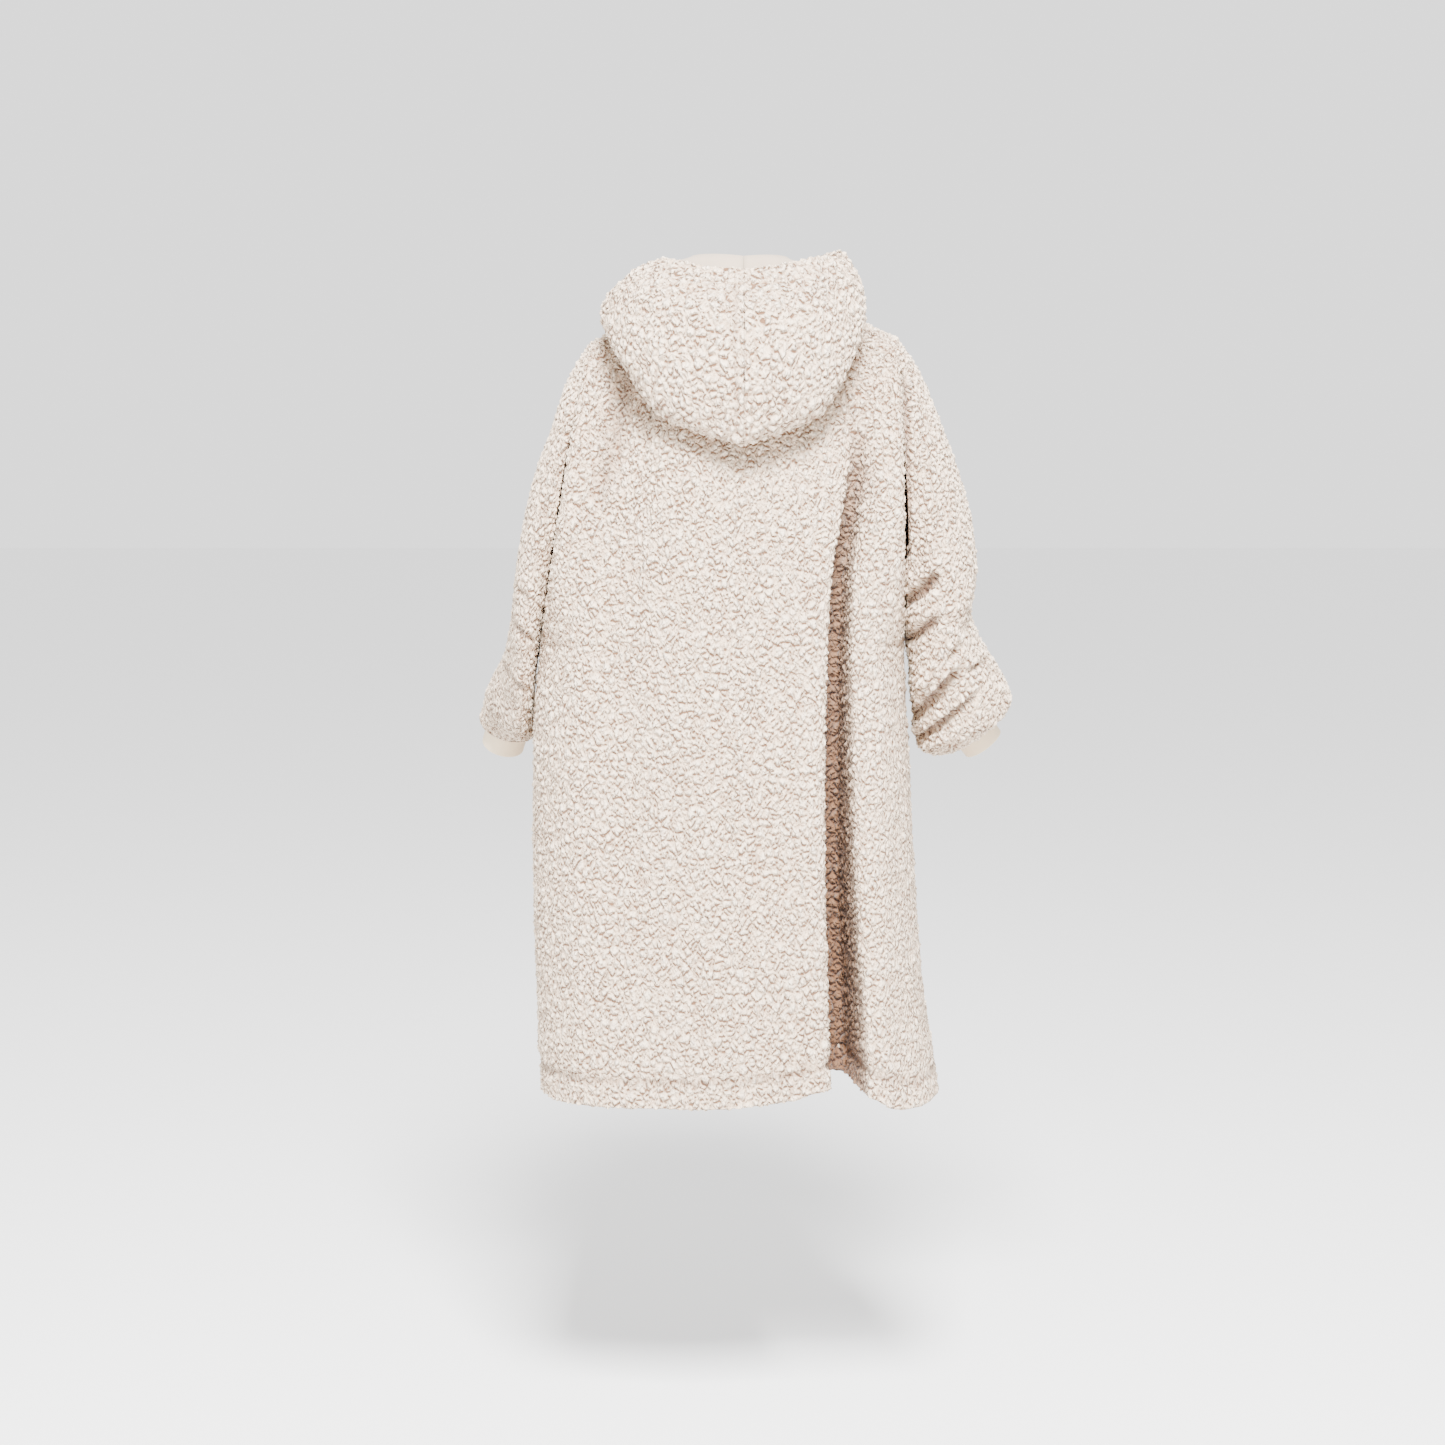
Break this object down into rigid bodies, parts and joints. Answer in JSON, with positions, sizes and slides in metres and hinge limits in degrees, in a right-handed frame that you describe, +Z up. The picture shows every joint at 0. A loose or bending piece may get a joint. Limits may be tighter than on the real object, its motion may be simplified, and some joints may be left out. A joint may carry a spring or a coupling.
{
  "type": "wearable blanket hoodie",
  "caption": "Oversized wearable blanket hoodie in cream curly pile, hanging as worn with the hood down, hollow and open at neck, cuffs and hem.",
  "frame": {"origin": "middle of the neck opening at the base of the neck, where the wearer's shoulders hold the garment up", "axes": "+Z up, +Y out of the garment's back, +X towards the wearer's left hand"},
  "size_m": [0.694, 0.4048, 1.0599],
  "materials": {
    "back_panel": "deep curly sherpa pile",
    "front_panel": "deep curly sherpa pile",
    "sleeve_left": "deep curly sherpa pile",
    "sleeve_right": "deep curly sherpa pile",
    "cuff_left": "smooth knitted rib",
    "cuff_right": "smooth knitted rib",
    "hood_left": "deep curly sherpa pile",
    "hood_right": "deep curly sherpa pile"
  },
  "bodies": {
    "root": {"back_panel": "back_panel", "front_panel": "front_panel", "sleeve_left": "sleeve_left", "sleeve_right": "sleeve_right", "cuff_left": "cuff_left", "cuff_right": "cuff_right", "hood_left": "hood_left", "hood_right": "hood_right"}
  },
  "joints": []
}
